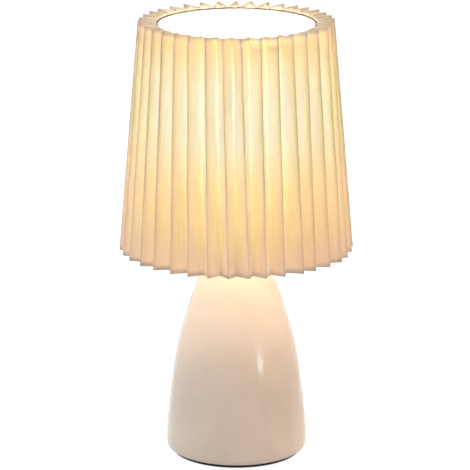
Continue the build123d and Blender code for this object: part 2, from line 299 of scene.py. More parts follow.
def parabola(start, corner, end, share):
    """A curve from start to end that leaves and arrives along the sides of the corner between them."""
    return (1 - share) ** 2 * start + 2 * share * (1 - share) * corner + share**2 * end


def rounded(rows, steps=6):
    """A closed outline from rows of (radius, height, round). Each corner is replaced by a parabola, from
    where a round of that radius would leave one side to where it would join the next."""
    rows = np.array(rows, float)
    corners = rows[:, :2]
    before = corners - np.roll(corners, 1, 0)
    after = np.roll(corners, -1, 0) - corners
    before = before / np.linalg.norm(before, axis=1, keepdims=True)
    after = after / np.linalg.norm(after, axis=1, keepdims=True)
    turn = np.arccos(np.clip((before * after).sum(1, keepdims=True), -1, 1))
    cut = rows[:, 2:] * np.tan(turn / 2)
    start = corners - before * cut
    end = corners + after * cut
    share = np.linspace(0, 1, steps)[None, :, None]
    flat = parabola(start[:, None], corners[:, None], end[:, None], share).reshape(-1, 2)
    keep = np.linalg.norm(flat - np.roll(flat, 1, 0), axis=1) > 1e-6
    return flat[keep]


def band(inner, outer, low, high, edge_round):
    """Outline of a flat ring whose four edges have one round."""
    corners = [(inner, low), (outer, low), (outer, high), (inner, high)]
    return rounded([(*corner, edge_round) for corner in corners])


def smooth_curve(knots, start, end, steps):
    """A cubic curve through knots with the given end directions. Between knots it is a Hermite piece over
    the chord, and the inner directions are those that keep its bend continuous."""
    knots = np.array(knots, float)
    chord = np.linalg.norm(np.diff(knots, axis=0), axis=1)
    count = len(knots)
    system = np.eye(count)
    right = np.zeros_like(knots)
    right[0] = np.array(start) / np.linalg.norm(start)
    right[-1] = np.array(end) / np.linalg.norm(end)
    inner = np.arange(1, count - 1)
    system[inner, inner - 1] = 1 / chord[:-1]
    system[inner, inner] = 2 / chord[:-1] + 2 / chord[1:]
    system[inner, inner + 1] = 1 / chord[1:]
    slope = np.diff(knots, axis=0) / chord[:, None] ** 2
    right[inner] = 3 * (slope[:-1] + slope[1:])
    direction = np.linalg.solve(system, right)
    share = np.linspace(0, 1, steps)[None, :, None]
    length = chord[:, None, None]
    rise = share**2 * (3 - 2 * share)
    piece = (1 - rise) * knots[:-1, None] + rise * knots[1:, None]
    piece = piece + length * share * (1 - share) ** 2 * direction[:-1, None]
    piece = piece - length * share**2 * (1 - share) * direction[1:, None]
    return np.concatenate([piece[:, :-1].reshape(-1, 2), knots[-1:]])


# Materials


def glazed_ceramic():
    """Slip-cast stoneware under a clear, poured glaze: pale warm white and very smooth, with soft clouds
    where the glaze pooled, a faint orange peel and sparse iron specks. Painted glow from the bulb makes it
    paler and warmer towards the shoulder."""
    material, tree = finish("glazed_stoneware")
    cloud_size = 28 * MM
    peel_size = 5 * MM
    speck_gap = 3.5 * MM
    # Heights between which painted glow from the bulb makes the glaze paler and warmer
    glow_start_height, glow_full_height = 40 * MM, 85 * MM
    place = add(tree, "TexCoord").outputs["Object"]
    height = add(tree, "SeparateXYZ", {"Vector": place}).outputs["Z"]
    clouds = add(
        tree, "TexNoise", {"Vector": place, "Scale": 1 / cloud_size, "Detail": 3.0, "Roughness": 0.55}
    )
    peel = add(tree, "TexNoise", {"Vector": place, "Scale": 1 / peel_size, "Detail": 1.0})
    # Painted glow: the bulb's light on the upper flank, drawn into the glaze colour as a rise with height
    painted_glow = add(
        tree,
        "MapRange",
        {"Value": height, "From Min": glow_start_height, "From Max": glow_full_height},
        interpolation_type="SMOOTHSTEP",
    )
    # The darker and paler cloud shades, each carrying the painted glow from low to high
    pooled = add(
        tree, "Mix", {"Factor": painted_glow, "A": tint("#C9B6A2"), "B": tint("#D4BEA6")}, data_type="RGBA"
    )
    clear = add(
        tree, "Mix", {"Factor": painted_glow, "A": tint("#DCCBB7"), "B": tint("#E8D3BC")}, data_type="RGBA"
    )
    body = add(tree, "Mix", {"Factor": clouds, "A": pooled, "B": clear}, data_type="RGBA")
    cells = add(tree, "TexVoronoi", {"Vector": place, "Scale": 1 / speck_gap}, feature="F1")
    outside = add(tree, "MapRange", {"Value": cells, "From Min": 0.05, "From Max": 0.1})
    empty = add(tree, "Math", {0: cells.outputs["Color"], 1: 0.9}, operation="LESS_THAN")
    clean = add(tree, "Math", {0: outside, 1: empty}, operation="MAXIMUM")
    colour = add(tree, "Mix", {"Factor": clean, "A": tint("#B79F8A"), "B": body}, data_type="RGBA")
    gloss = add(
        tree,
        "MapRange",
        {"Value": clouds, "From Min": 0.3, "From Max": 0.7, "To Min": 0.1, "To Max": 0.2},
    )
    bump = add(tree, "Bump", {"Height": peel, "Strength": 0.05, "Distance": 0.3 * MM})
    shader = add(
        tree,
        "BsdfPrincipled",
        {
            "Base Color": colour,
            "Roughness": gloss,
            "Normal": bump,
            "IOR": 1.5,
            "Coat Weight": 0.15,
            "Coat Roughness": 0.04,
        },
    )
    add(tree, "OutputMaterial", {"Surface": shader})
    return material


def strip_pattern(tree):
    """The marks on the folded strip: its two directions, the height of its threads, and its slubs."""
    thread = 0.9 * MM  # real threads are about 0.4 mm; drawn coarser so that they show
    slub_width, slub_length = 1.6 * MM, 22 * MM
    place = add(tree, "UVMap")
    axes = add(tree, "SeparateXYZ", {"Vector": place})
    waves = []
    for axis in ("X", "Y"):
        turn = add(tree, "Math", {0: axes.outputs[axis], 1: 2 * pi / thread}, operation="MULTIPLY")
        waves.append(add(tree, "Math", {0: turn}, operation="SINE"))
    weave = add(tree, "Math", {0: waves[0], 1: waves[1]}, operation="MULTIPLY")
    stretched = add(tree, "Mapping", {"Vector": place, "Scale": (1 / slub_width, 1 / slub_length, 1.0)})
    slub = add(tree, "TexNoise", {"Vector": stretched, "Scale": 1.0, "Detail": 2.0})
    return axes, weave, slub


def pleated_cloth():
    """Plain-woven cream linen, heat-pleated and glued to a lining. The colour of the light that comes
    through
    is painted glow: palest by the soft inner folds of a band above the middle, warmer away from it and
    peach at the foot, with painted shade that evens the glow at the bulb's height and more by the inner
    folds. Sharp outer creases are painted as dark lines with soft shoulders of shade, and the hems, of two
    layers, darken towards the cut edges."""
    material, tree = finish("cream_linen")
    axes, weave, slub = strip_pattern(tree)
    along = axes.outputs["X"]
    up = axes.outputs["Y"]
    pleat = pleat_width * MM
    slant = slant_length * MM
    bulb_place = 0.6 * slant
    pale_place = 0.67 * slant
    from_tip = add(tree, "Math", {0: along, 1: pleat}, operation="PINGPONG")
    from_edge = add(tree, "Math", {0: up, 1: slant / 2}, operation="PINGPONG")
    # These two rise up to a place on the slant and fall beyond it
    to_bulb = add(tree, "Math", {0: up, 1: bulb_place}, operation="PINGPONG")
    to_pale = add(tree, "Math", {0: up, 1: pale_place}, operation="PINGPONG")

    # Smooth steps: what each follows, where it starts and ends, and its two levels
    steps = {
        # Painted shade along each outer crease: a dark line and its soft shoulders
        "line": (from_tip, 0.15 * MM, 1.1 * MM, 0.86, 1.0),
        "shoulder": (from_tip, 0.3 * MM, 3.4 * MM, 0.91, 1.0),
        "slub": (slub, 0.3, 0.7, 0.94, 1.0),
        "hem": (from_edge, 0.0, 2 * hem_width * MM, 0.86, 1.0),
        "edge": (from_edge, 0.2 * MM, 0.7 * MM, 0.85, 1.0),
        # Painted shade where the bulb is nearest, which evens the glow
        "glow_evening_shade": (to_bulb, bulb_place, 0.0, 0.55, 1.0),
        # Painted shade by the inner folds, which lie nearest the bulb
        "inner_fold": (from_tip, 0.6 * pleat, pleat, 1.0, 0.86),
        # The painted glow's colour: pale by the inner folds, warmer away from the bulb's band, peach at the
        # foot
        "panel": (from_tip, 0.03 * pleat, 0.46 * pleat, 0.0, 1.0),
        "warm": (to_pale, pale_place - 0.06 * slant, pale_place - 0.34 * slant, 0.0, 1.0),
        "foot": (up, 0.02 * slant, 0.16 * slant, 1.0, 0.0),
    }
    level = {}
    for name, (value, start, end, low, high) in steps.items():
        limits = {"Value": value, "From Min": start, "From Max": end, "To Min": low, "To Max": high}
        level[name] = add(tree, "MapRange", limits, interpolation_type="SMOOTHSTEP")

    # The front takes the painted crease shade; the light that comes through takes it too, with the hems and
    # edges and the painted shade at the bulb's height and by the inner folds
    front_share = level["slub"]
    for name in ("line", "shoulder"):
        front_share = add(tree, "Math", {0: front_share, 1: level[name]}, operation="MULTIPLY")
    light_share = front_share
    for name in ("hem", "edge", "glow_evening_shade", "inner_fold"):
        light_share = add(tree, "Math", {0: light_share, 1: level[name]}, operation="MULTIPLY")

    # Colours in turn: what each follows, and its two ends, which can be earlier ones
    dark = tint("#000000")
    # Painted glow for the light that comes through, and the front darkened by painted crease shade
    mixes = (
        ("by_tip", level["warm"], tint("#FFEC90"), tint("#FADAA6")),
        ("by_inner_fold", level["warm"], tint("#F8F6E4"), tint("#F8DF9E")),
        ("across", level["panel"], "by_tip", "by_inner_fold"),
        ("pale", level["foot"], "across", tint("#FFE0BC")),
        ("through", light_share, dark, "pale"),
        ("facing", front_share, dark, tint("#F2ECE2")),
    )
    colour = {}
    for name, factor, *ends in mixes:
        first, second = (colour.get(end, end) for end in ends)
        colour[name] = add(tree, "Mix", {"Factor": factor, "A": first, "B": second}, data_type="RGBA")

    height = add(tree, "Math", {0: weave, 1: slub}, operation="ADD")
    bump = add(tree, "Bump", {"Height": height, "Strength": 0.25, "Distance": 0.15 * MM})
    front = add(
        tree,
        "BsdfPrincipled",
        {
            "Base Color": colour["facing"],
            "Roughness": 0.85,
            "Normal": bump,
            "Sheen Weight": 0.1,
            "Specular IOR Level": 0.2,
        },
    )
    glow = add(tree, "BsdfTranslucent", {"Color": colour["through"], "Normal": bump})
    shader = add(tree, "MixShader", {0: 0.465, 1: front, 2: glow})
    add(tree, "OutputMaterial", {"Surface": shader})
    return material


def white_lining():
    """White translucent film with a soft sheen, which the cloth is glued to. Near both cut edges it is a
    pale beige band, painted shade for the tops of the pleats, that lets more light through."""
    material, tree = finish("white_lining_film")
    axes, weave, slub = strip_pattern(tree)
    shade_band = shade_band_width * MM
    shade_band_blur = 0.1 * MM
    from_edge = add(
        tree, "Math", {0: axes.outputs["Y"], 1: slant_length * MM / 2}, operation="PINGPONG"
    )
    inside = add(
        tree,
        "MapRange",
        {"Value": from_edge, "From Min": shade_band - shade_band_blur, "From Max": shade_band + shade_band_blur},
        interpolation_type="SMOOTHSTEP",
    )
    film = add(
        tree, "Mix", {"Factor": slub, "A": tint("#F0EDE8"), "B": tint("#FAF9F7")}, data_type="RGBA"
    )
    # Painted shade: a beige band near both cut edges that stands for the shade in the tops of the pleats
    band_shade_colour = add(
        tree, "Mix", {"Factor": slub, "A": tint("#E0CCB0"), "B": tint("#ECDAC2")}, data_type="RGBA"
    )
    colour = add(tree, "Mix", {"Factor": inside, "A": band_shade_colour, "B": film}, data_type="RGBA")
    bump = add(tree, "Bump", {"Height": weave, "Strength": 0.1, "Distance": 0.1 * MM})
    front = add(
        tree, "BsdfPrincipled", {"Base Color": colour, "Roughness": 0.5, "Normal": bump, "IOR": 1.54}
    )
    glow = add(tree, "BsdfTranslucent", {"Color": film, "Normal": bump})
    share = add(
        tree, "MapRange", {"Value": inside, "To Min": 0.45, "To Max": 0.17}, interpolation_type="SMOOTHSTEP"
    )
    shader = add(tree, "MixShader", {0: share, 1: front, 2: glow})
    add(tree, "OutputMaterial", {"Surface": shader})
    return material


def opal_glass(name, strength):
    """Blown opal glass with a satin coating inside: an even, milky white that hides what is behind it,
    warm where it is lit."""
    material, tree = finish(name)
    wave_size = 6 * MM
    place = add(tree, "TexCoord").outputs["Object"]
    waves = add(tree, "TexNoise", {"Vector": place, "Scale": 1 / wave_size, "Detail": 1.0})
    colour = add(
        tree, "Mix", {"Factor": waves, "A": tint("#EFECE4"), "B": tint("#F8F6F0")}, data_type="RGBA"
    )
    bump = add(tree, "Bump", {"Height": waves, "Strength": 0.05, "Distance": 0.1 * MM})
    shader = add(
        tree,
        "BsdfPrincipled",
        {
            "Base Color": colour,
            "Roughness": 0.3,
            "IOR": 1.5,
            "Normal": bump,
            "Emission Color": tint("#FFF8EA"),
            "Emission Strength": strength,
        },
    )
    add(tree, "OutputMaterial", {"Surface": shader})
    return material


def clear_glass():
    """Clear drawn glass of the stem: a little grey-green, with fine lines along the draw."""
    material, tree = finish("clear_drawn_glass")
    line_width, line_length = 1 * MM, 30 * MM
    place = add(tree, "TexCoord").outputs["Object"]
    scale = (1 / line_width, 1 / line_width, 1 / line_length)
    drawn = add(tree, "Mapping", {"Vector": place, "Scale": scale})
    lines = add(tree, "TexNoise", {"Vector": drawn, "Scale": 1.0})
    colour = add(
        tree, "Mix", {"Factor": lines, "A": tint("#D9E2DE"), "B": tint("#EDF2EF")}, data_type="RGBA"
    )
    rough = add(
        tree,
        "MapRange",
        {"Value": lines, "From Min": 0.3, "From Max": 0.7, "To Min": 0.03, "To Max": 0.08},
        interpolation_type="SMOOTHSTEP",
    )
    shader = add(
        tree,
        "BsdfPrincipled",
        {"Base Color": colour, "Roughness": rough, "IOR": 1.5, "Transmission Weight": 0.9},
    )
    add(tree, "OutputMaterial", {"Surface": shader})
    return material


def grained(name, dark, pale, roughness, grain, depth, ior=1.5, metallic=0.0):
    """A moulded, cast or plated surface: two close shades in soft patches, and a fine grain whose size and
    depth are in millimetres."""
    material, tree = finish(name)
    patch_size = 8 * grain * MM
    rough_spread = 0.2
    place = add(tree, "TexCoord").outputs["Object"]
    patch = add(tree, "TexNoise", {"Vector": place, "Scale": 1 / patch_size, "Detail": 3.0})
    speckle = add(tree, "TexNoise", {"Vector": place, "Scale": 1 / (grain * MM), "Detail": 2.0})
    colour = add(tree, "Mix", {"Factor": patch, "A": tint(dark), "B": tint(pale)}, data_type="RGBA")
    smoothest = roughness * (1 - rough_spread)
    roughest = min(1.0, roughness * (1 + rough_spread))
    rough = add(tree, "MapRange", {"Value": speckle, "To Min": smoothest, "To Max": roughest})
    bump = add(tree, "Bump", {"Height": speckle, "Strength": 0.3, "Distance": depth * MM})
    shader = add(
        tree,
        "BsdfPrincipled",
        {"Base Color": colour, "Roughness": rough, "Normal": bump, "Metallic": metallic, "IOR": ior},
    )
    add(tree, "OutputMaterial", {"Surface": shader})
    return material


# The base


def base_flank(inset):
    """The flank's curve from belly to crown, moved towards the axis."""
    knots = [
        (base_radius - inset, foot_z + belly_height),
        (base_radius - flank_inset - inset, foot_z + flank_height),
        (base_radius - shoulder_inset - inset, foot_z + shoulder_height),
        (base_radius - collar_inset - inset, foot_z + collar_height),
        (crown_radius - inset, crown_z),
    ]
    last = np.array(knots[-1]) - np.array(knots[-2])
    return smooth_curve(knots, (0, 1), last, flank_points)


def ceramic_outline():
    """The wall's closed outline: foot, rounded edge, flank, crown and hole, then the hollow inside."""
    turn = np.linspace(-pi / 2, 0, edge_points)
    edge = np.stack([np.cos(turn), np.sin(turn)], -1) * edge_radius
    edge = edge + [base_radius - edge_radius, foot_z + edge_radius]
    outer = base_flank(0)
    inner = base_flank(ceramic_wall)
    ceiling_z = crown_z - crown_wall
    inner = inner[inner[:, 1] < ceiling_z]
    lean = outer[-1] - outer[-2]
    lean = lean / np.linalg.norm(lean)
    share = np.linspace(0, 1, crown_points)[:, None]
    low = outer[-1] - lean * crown_round
    high = outer[-1] - [crown_round, 0]
    rim = parabola(low, outer[-1], high, share)
    outer = outer[np.linalg.norm(outer - outer[-1], axis=1) > crown_round]
    floor_z = foot_z + floor_thickness
    return np.concatenate(
        [
            [(hand_hole_radius, foot_z)],
            edge,
            outer,
            rim,
            [(crown_hole_radius, crown_z), (crown_hole_radius, ceiling_z), (inner[-1, 0], ceiling_z)],
            inner[::-1],
            [(base_radius - ceramic_wall, floor_z), (hand_hole_radius, floor_z)],
        ]
    )


def make_base():
    """The turned wall, less a round bar through its back where the cord comes in."""
    points, faces = turned(ceramic_outline(), base_steps)
    glaze = glazed_ceramic()
    piece = make_piece("ceramic_base", points, faces, glaze, "base", "glazed_ceramic", "ceramic_body")
    place = Matrix.Translation((0, base_radius * MM, inlet_z * MM))
    lying = Matrix.Rotation(pi / 2, 4, "X")
    half_side = Matrix.Rotation(pi / inlet_sides, 4, "Z")  # keeps the bar's corners off the wall's corners
    work = bmesh.new()
    bmesh.ops.create_cone(
        work,
        cap_ends=True,
        segments=inlet_sides,
        radius1=inlet_radius * MM,
        radius2=inlet_radius * MM,
        depth=4 * ceramic_wall * MM,
        matrix=place @ lying @ half_side,
    )
    bar_mesh = bpy.data.meshes.new("inlet_bar")
    work.to_mesh(bar_mesh)
    work.free()
    bar = bpy.data.objects.new("inlet_bar", bar_mesh)
    bpy.context.scene.collection.objects.link(bar)
    cut = piece.modifiers.new("inlet", "BOOLEAN")
    cut.operation = "DIFFERENCE"
    cut.solver = "EXACT"
    cut.object = bar
    shaped = bpy.data.meshes.new_from_object(piece.evaluated_get(bpy.context.evaluated_depsgraph_get()))
    piece.modifiers.clear()
    piece.data = shaped
    bpy.data.objects.remove(bar)


def make_pad():
    """A disc with soft edges, of closed-cell foam: nearly black and quite dull, with small open pores."""
    low, high = span("foot_pad")
    radius = high[0]
    rows = [(0, low[2], 0), (radius, low[2], 0.5), (radius, high[2], 0.4), (0, high[2], 0)]
    points, faces = turned(rounded(rows), small_steps)
    foam = grained("black_foam", "#15140F", "#24221E", 0.95, 0.7, 0.3, 1.45)
    make_piece("foam_pad", points, faces, foam, "base", "black_foam", "foot_pad")


# The shade


def fold_radius(tip_radius):
    """Radius of the inner folds where the outer folds are at tip_radius and a pleat has its full width."""
    across = tip_radius * np.sin(pi / pleat_count)
    return tip_radius * np.cos(pi / pleat_count) - np.sqrt(pleat_width**2 - across**2)


def cloth_depth(tip_radius):
    """How far the lining lies behind the cloth's face, along the radius."""
    across = (tip_radius + fold_radius(tip_radius)) / 2 * np.sin(pi / pleat_count)
    return cloth_thickness * pleat_width / across


def pleat_folds():
    """The fold lines of face and lining, each on a grid of fold number and height. Odd folds lie on the
    outer cone and even folds so far behind it that their rounds end at the inner radius. Each fold is a
    little out of place, and the cut edges are square to the slant."""
    random = np.random.default_rng(7)
    rise = np.linspace(0, 1, shade_rows)[None, :]
    from_middle = rise - 0.5
    number = np.arange(2 * pleat_count)[:, None]
    tip = shade_bottom_radius + rise * (shade_top_radius - shade_bottom_radius)
    depth = (tip - fold_radius(tip)) / (1 - inner_fold_share / 2)
    radius = np.where(number % 2 == 1, tip, tip - depth)
    radius = radius + random.normal(0, reach_stray, number.shape)
    radius = radius + random.normal(0, reach_tilt, number.shape) * from_middle
    angle = pi * number / pleat_count
    wander = random.normal(0, turn_stray, number.shape)
    wander = wander + random.normal(0, turn_tilt, number.shape) * from_middle
    once = once_lean * np.cos(angle + once_phase)
    twice = twice_lean * np.cos(2 * angle + twice_phase)
    lean = pleat_turn + (once + twice + pleat_lean) * from_middle
    angle = angle + np.radians(wander + lean)
    slant = (shade_bottom_radius - shade_top_radius) / (shade_top_z - shade_bottom_z)
    height = shade_bottom_z + rise * (shade_top_z - shade_bottom_z) - (tip - radius) * slant
    layers = []
    for behind in (0 * tip, cloth_depth(tip)):
        reach = radius - behind
        layers.append(np.stack([reach * np.cos(angle), reach * np.sin(angle), height], -1))
    return layers


def folded_strip(fold):
    """The strip between its fold lines. Half a pleat on each side of fold P, at x pleats from it, it runs
    through P + bent(x) * ahead - bent(-x) * behind, where bent(x) is 0 before the fold, x after it and a
    parabola near it."""
    ahead = (np.roll(fold, -1, 0) - fold)[:, None]
    behind = (fold - np.roll(fold, 1, 0))[:, None]
    outer = np.arange(2 * pleat_count) % 2 == 1
    soft = np.where(outer, outer_fold_share, inner_fold_share)[:, None, None, None]
    near = fold_places[None, :, None, None]

    def bent(x):
        return np.where(x > soft, x, np.where(x < -soft, 0, (x + soft) ** 2 / (4 * soft)))

    strip = fold[:, None] + bent(near) * ahead - bent(-near) * behind
    return strip.reshape(-1, *fold.shape[1:])


def make_shade():
    """Face and lining of one folded strip, joined at the cut edges: round the ring, then up the face and
    down the lining. Its map runs along the strip from an outer fold and up the slant, in metres."""
    face, lining = (folded_strip(fold) for fold in pleat_folds())
    points = np.concatenate([face, lining[:, ::-1]], 1)
    columns = len(points)
    rows = 2 * shade_rows
    points = points.reshape(-1, 3)
    faces = outward(points, grid_faces(columns, rows, True, True))
    column, row = np.divmod(faces, rows)
    closing = (column == 0) & (column.max(1, keepdims=True) == columns - 1)
    column = np.where(closing, columns, column)
    place = (np.arange(2 * pleat_count)[:, None] + 1 + fold_places).reshape(-1)
    place = np.append(place, place[0] + 2 * pleat_count) * pleat_width * MM
    rise = np.minimum(row, rows - 1 - row) / (shade_rows - 1)
    behind = row.min(1) >= shade_rows
    mesh = bpy.data.meshes.new("pleated_cloth")
    mesh.from_pydata((points * MM).tolist(), [], faces.tolist())
    strip_map = mesh.uv_layers.new(name="strip")
    strip_map.data.foreach_set("uv", np.stack([place[column], rise * slant_length * MM], -1).ravel())
    mesh.materials.append(pleated_cloth())
    mesh.materials.append(white_lining())
    mesh.polygons.foreach_set("material_index", behind.astype(np.int32))
    mesh.shade_smooth()
    piece = seat(mesh, "shade", "pleated_cloth", "pleated_shade")


def wire(path, radius, across, closed):
    """A round section carried along a path: radius times (cosine * across + sine * sideways) round each
    point, where sideways is square to the path and to across."""
    if closed:
        along = np.roll(path, -1, 0) - np.roll(path, 1, 0)
    else:
        along = np.gradient(path, axis=0)
    along = along / np.linalg.norm(along, axis=1, keepdims=True)
    across = np.broadcast_to(np.array(across, float), path.shape)
    sideways = np.cross(along, across)
    angle = turns(wire_sides)[None, :, None]
    ring = np.cos(angle) * across[:, None] + np.sin(angle) * sideways[:, None]
    points = (path[:, None] + np.broadcast_to(radius, len(path))[:, None, None] * ring).reshape(-1, 3)
    return points, outward(points, grid_faces(len(path), wire_sides, closed, True))


def make_shade_rings(metal):
    """Two rings of round wire inside the folds."""
    angle = turns(ring_steps)
    for node in ("shade_top_ring", "shade_bottom_ring"):
        low, high = span(node)
        wire_radius = (high[2] - low[2]) / 2
        radius = high[0] - wire_radius
        middle = (high[2] + low[2]) / 2
        path = np.stack([radius * np.cos(angle), radius * np.sin(angle), np.full_like(angle, middle)], -1)
        points, faces = wire(path, wire_radius, (0, 0, 1), True)
        make_piece(node.replace("shade", "wire"), points, faces, metal, "shade", "bronze_wire", node)


def make_fitter(metal):
    """A pressed ring with rounded edges, and three wires with round ends that run out under it, bend along
    a parabola and slope to the lower ring."""
    low, high = span("fitter_ring")
    points, faces = turned(band(fitter_bore, high[0], low[2], high[2], 0.45), small_steps)
    make_piece("fitter_washer", points, faces, metal, "shade", "bronze_wire", "fitter_ring")

    ring_low, ring_high = span("shade_bottom_ring")
    ring_wire = (ring_high[2] - ring_low[2]) / 2
    start = np.array([arm_start, low[2] - arm_wire + arm_bite])
    bend = start + [arm_run, 0]
    stop = np.array([ring_high[0] - ring_wire, ring_low[2] + ring_wire])
    slope = (stop - bend) / np.linalg.norm(stop - bend)
    cut = arm_bend * tan(np.arccos(slope[0]) / 2)
    share = np.linspace(0, 1, bend_points)[:, None]
    curve = parabola(bend - [cut, 0], bend, bend + slope * cut, share)
    line = np.concatenate([[start], curve, [stop - slope * arm_wire]])
    tip = np.linspace(0, 1, tip_points)[1:, None]
    line = np.concatenate([line[0] - [arm_wire, 0] * tip[::-1], line, line[-1] + slope * arm_wire * tip])
    fade = np.sqrt(np.maximum(0, 1 - tip[:, 0] ** 2))
    radius = arm_wire * np.concatenate([fade[::-1], np.ones(len(curve) + 2), fade])
    points, faces = [], []
    for turn in pi / 2 + turns(arm_count):
        outward_line = np.array([cos(turn), sin(turn), 0])
        path = line[:, :1] * outward_line + line[:, 1:] * np.array([0, 0, 1])
        arm_points, arm_faces = wire(path, radius, (-sin(turn), cos(turn), 0), False)
        faces.append(arm_faces + sum(len(part) for part in points))
        points.append(arm_points)
    points, faces = np.concatenate(points), np.concatenate(faces)
    make_piece("fitter_wires", points, faces, metal, "shade", "bronze_wire", "fitter_arms")


# The lampholder. Outlines are rows of (radius, height, round).


def make_cup(plastic):
    """The lower cup with its boss, turned."""
    low, high = span("holder_cap")
    floor_z = low[2] + cup_floor
    boss_z = floor_z + boss_height
    rows = [
        (nipple_hole, low[2], 0.3),
        (high[0], low[2], 3.5),
        (high[0], high[2], 0.4),
        (high[0] - cup_wall, high[2], 0.3),
        (high[0] - cup_wall, floor_z, 0.6),
        (boss_radius, floor_z, 0.5),
        (boss_radius, boss_z, 0.3),
        (nipple_hole, boss_z, 0.3),
    ]
    points, faces = turned(rounded(rows), small_steps)
    make_piece("holder_cup", points, faces, plastic, "base", "holder_plastic", "holder_cap")


def make_barrel(plastic):
    """The barrel with its seat and lip, turned. Its thread is a groove that climbs one pitch a turn: a
    cosine of the height over the pitch less the turn, steepened, cut flat and faded at both ends."""
    low, high = span("holder_barrel")
    cup_high = span("holder_cap")[1]
    seat_z = span("fitter_ring")[0][2] - moving_gap
    spigot = cup_high[0] - cup_wall - spigot_gap
    bore = barrel_radius - barrel_wall
    thread_low = seat_z + thread_start
    thread_high = high[2] - thread_land
    rows = [
        (bore, low[2], 0.3),
        (spigot, low[2], 0.3),
        (spigot, cup_high[2], 0.1),
        (barrel_radius, cup_high[2], 0.3),
        (barrel_radius, seat_z - seat_thickness, 0.3),
        (high[0], seat_z - seat_thickness, 0.5),
        (high[0], seat_z, 0.5),
        (barrel_radius, seat_z, 0.2),
        (barrel_radius, high[2], 0.7),
        (lip_radius, high[2], 0.6),
        (lip_radius, high[2] - lip_thickness, 0.3),
        (bore, high[2] - lip_thickness, 0.2),
    ]
    outline = rounded(rows)
    on_seat = np.abs(outline[:, 1] - seat_z) < seat_thickness / 2
    split = np.flatnonzero(on_seat)[-1] + 1
    flank = np.linspace(thread_low, thread_high, thread_points)
    threaded = np.stack([np.full_like(flank, barrel_radius), flank], -1)
    outline = np.concatenate([outline[:split], threaded, outline[split:]])
    share = np.zeros((len(outline), 1))
    fade = np.minimum(flank - thread_low, thread_high - flank) / thread_pitch
    share[split:split + thread_points, 0] = np.clip(fade, 0, 1)
    phase = outline[:, 1:] / thread_pitch - turns(barrel_steps) / (2 * pi)
    groove = np.clip(0.5 + groove_slope * np.cos(2 * pi * phase), 0, 1)
    points, faces = turned(outline, barrel_steps, -thread_depth * share * groove)
    make_piece("holder_barrel_threaded", points, faces, plastic, "base", "holder_plastic", "holder_barrel")


def make_clamp(plastic):
    """The ring that clamps the shade, turned: a flange, and a collar whose ribs are a power of a cosine."""
    low, high = span("retaining_ring")
    flange_z = low[2] + ring_flange
    rows = [
        (fitter_bore, low[2], 0.4),
        (high[0], low[2], 0.6),
        (high[0], flange_z, 0.7),
        (ring_collar, flange_z, 0.5),
        (ring_collar, high[2], 0.7),
        (fitter_bore, high[2], 0.4),
    ]
    outline = rounded(rows)
    on_collar = np.abs(outline[:, :1] - ring_collar) < grip_reach
    steps = grip_count * grip_steps
    rib = grip_height * (0.5 + 0.5 * np.cos(grip_count * turns(steps))) ** grip_power
    points, faces = turned(outline, steps, on_collar * rib)
    make_piece("clamping_ring", points, faces, plastic, "ring", "holder_plastic", "retaining_ring")


def make_gasket(rubber):
    """A soft disc between crown and lampholder."""
    low, high = span("neck_gasket")
    points, faces = turned(band(nipple_hole, high[0], low[2], high[2], 0.4), small_steps)
    make_piece("neck_washer", points, faces, rubber, "base", "soft_rubber", "neck_gasket")


def make_grommet(rubber):
    """A bush about an axis along Y: two flanges with a neck between them, each point set back by the curve
    of the wall at its own distance from the middle."""
    low, high = span("cord_grommet")
    flange_radius = high[0]
    wall_out = base_radius
    wall_in = base_radius - ceramic_wall
    rows = [
        (cord_bore, low[1], 0.5),
        (flange_radius, low[1], 0.6),
        (flange_radius, wall_in, 0.2),
        (inlet_radius, wall_in, 0.1),
        (inlet_radius, wall_out, 0.1),
        (flange_radius, wall_out, 0.2),
        (flange_radius, high[1], 0.7),
        (cord_bore, high[1], 0.5),
    ]
    outline = rounded(rows)
    side = outline[:, :1] * np.cos(turns(bush_steps))
    up = outline[:, :1] * np.sin(turns(bush_steps))
    setback = base_radius - np.sqrt(base_radius**2 - side**2)
    points = np.stack([side, outline[:, 1:] - setback, inlet_z + up], -1).reshape(-1, 3)
    faces = outward(points, grid_faces(len(outline), bush_steps, True, True))
    make_piece("cord_bush", points, faces, rubber, "base", "soft_rubber", "cord_grommet")


# The bulb


